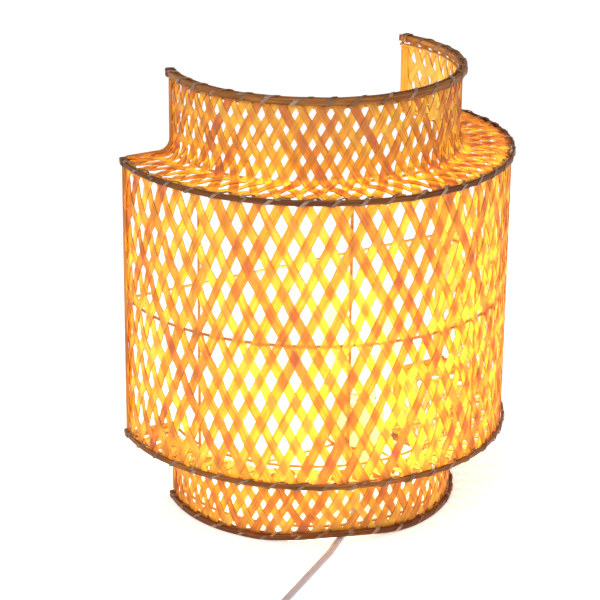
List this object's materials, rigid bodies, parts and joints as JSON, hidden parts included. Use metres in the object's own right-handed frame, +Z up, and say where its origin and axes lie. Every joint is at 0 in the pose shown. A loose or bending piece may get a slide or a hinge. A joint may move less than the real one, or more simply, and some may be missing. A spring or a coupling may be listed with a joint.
{
  "type": "woven bamboo half-round lamp",
  "caption": "Open-backed half-round lamp of woven bamboo on a lashed wire frame, with a globe bulb in a screw lampholder and a lead with a switch and plug.",
  "frame": {"origin": "middle of the box round the shade, at the surface that its bottom rim stands on; the lead, switch and plug aren't counted", "axes": "+Z up along the shade's height, +Y towards the open back that goes against a wall, +X to the right as seen from the woven front"},
  "size_m": [0.3734, 0.3894, 0.369],
  "materials": {
    "frame_wire": "tan-brown coated wire",
    "bamboo_weave": "thin split bamboo, satin",
    "bamboo_edge": "split bamboo, satin",
    "dark_cane": "stained split cane, satin",
    "lashing": "pale split rattan, satin",
    "holder_plastic": "matte white",
    "ceramic": "unglazed ceramic",
    "brass": "plain brass",
    "bulb_glass": "frosted warm white glass",
    "nickel": "nickel plated",
    "black_glass": "gloss black",
    "clear_glass": "clear glass",
    "filament": "coated filament sticks",
    "cord": "white soft sheath",
    "tie": "black plastic-coated tie",
    "lead_plastic": "satin white moulding"
  },
  "bodies": {
    "lamp": {"top_ring": "frame_wire", "upper_neck_ring": "frame_wire", "upper_drum_ring": "frame_wire", "middle_ring": "frame_wire", "lower_drum_ring": "frame_wire", "lower_neck_ring": "frame_wire", "bottom_ring": "frame_wire", "drum_ribs": "frame_wire", "left_post": "frame_wire", "right_post": "frame_wire", "rear_bar": "frame_wire", "lamp_carrier": "frame_wire", "upper_collar": "bamboo_weave", "upper_shoulder": "bamboo_weave", "drum_weave": "bamboo_weave", "lower_shoulder": "bamboo_weave", "lower_collar": "bamboo_weave", "left_edge_strip": "bamboo_edge", "right_edge_strip": "bamboo_edge", "top_outer_band": "dark_cane", "top_inner_band": "dark_cane", "top_lashing": "lashing", "upper_hoop_cane": "dark_cane", "upper_hoop_lashing": "lashing", "lower_hoop_cane": "dark_cane", "lower_hoop_lashing": "lashing", "bottom_outer_band": "dark_cane", "bottom_inner_band": "dark_cane", "bottom_lashing": "lashing", "end_knots": "lashing", "holder_body": "holder_plastic", "holder_cap": "holder_plastic", "shade_ring": "holder_plastic", "contact_block": "ceramic", "screw_shell": "brass", "centre_contact": "brass", "cord_grip": "holder_plastic", "cord_lead": "cord", "cord_coil": "cord", "cord_run": "cord", "cord_tail": "cord", "coil_tie": "tie", "switch_top": "lead_plastic", "switch_base": "lead_plastic", "switch_pin": "nickel", "switch_screws": "nickel", "plug_body": "lead_plastic", "plug_relief": "lead_plastic", "plug_pins": "brass"},
    "bulb_lift": {"bulb_tip": "nickel"},
    "bulb": {"bulb_glass": "bulb_glass", "bulb_cap": "nickel", "bulb_insulator": "black_glass", "bulb_stem": "clear_glass", "bulb_filament": "filament"},
    "rocker": {"switch_rocker": "lead_plastic"}
  },
  "joints": [
    {"name": "bulb_rise", "type": "slide", "parent": "lamp", "child": "bulb_lift", "axis": [0, 0, 1], "range_m": [0, 0.0182]},
    {"name": "bulb_turn", "type": "hinge", "parent": "bulb_lift", "child": "bulb", "pos_m": [0, -0.009, 0.1], "axis": [0, 0, 1], "range_deg": [0, 1800]},
    {"name": "switch_rocker", "type": "hinge", "parent": "lamp", "child": "rocker", "pos_m": [-0.093, -0.229, 0.0124], "axis": [0, 1, 0], "range_deg": [0, 14]}
  ],
  "couplings": [
    {"joint": "bulb_rise", "follows": "bulb_turn", "m_per_rad": 0.00057773}
  ]
}
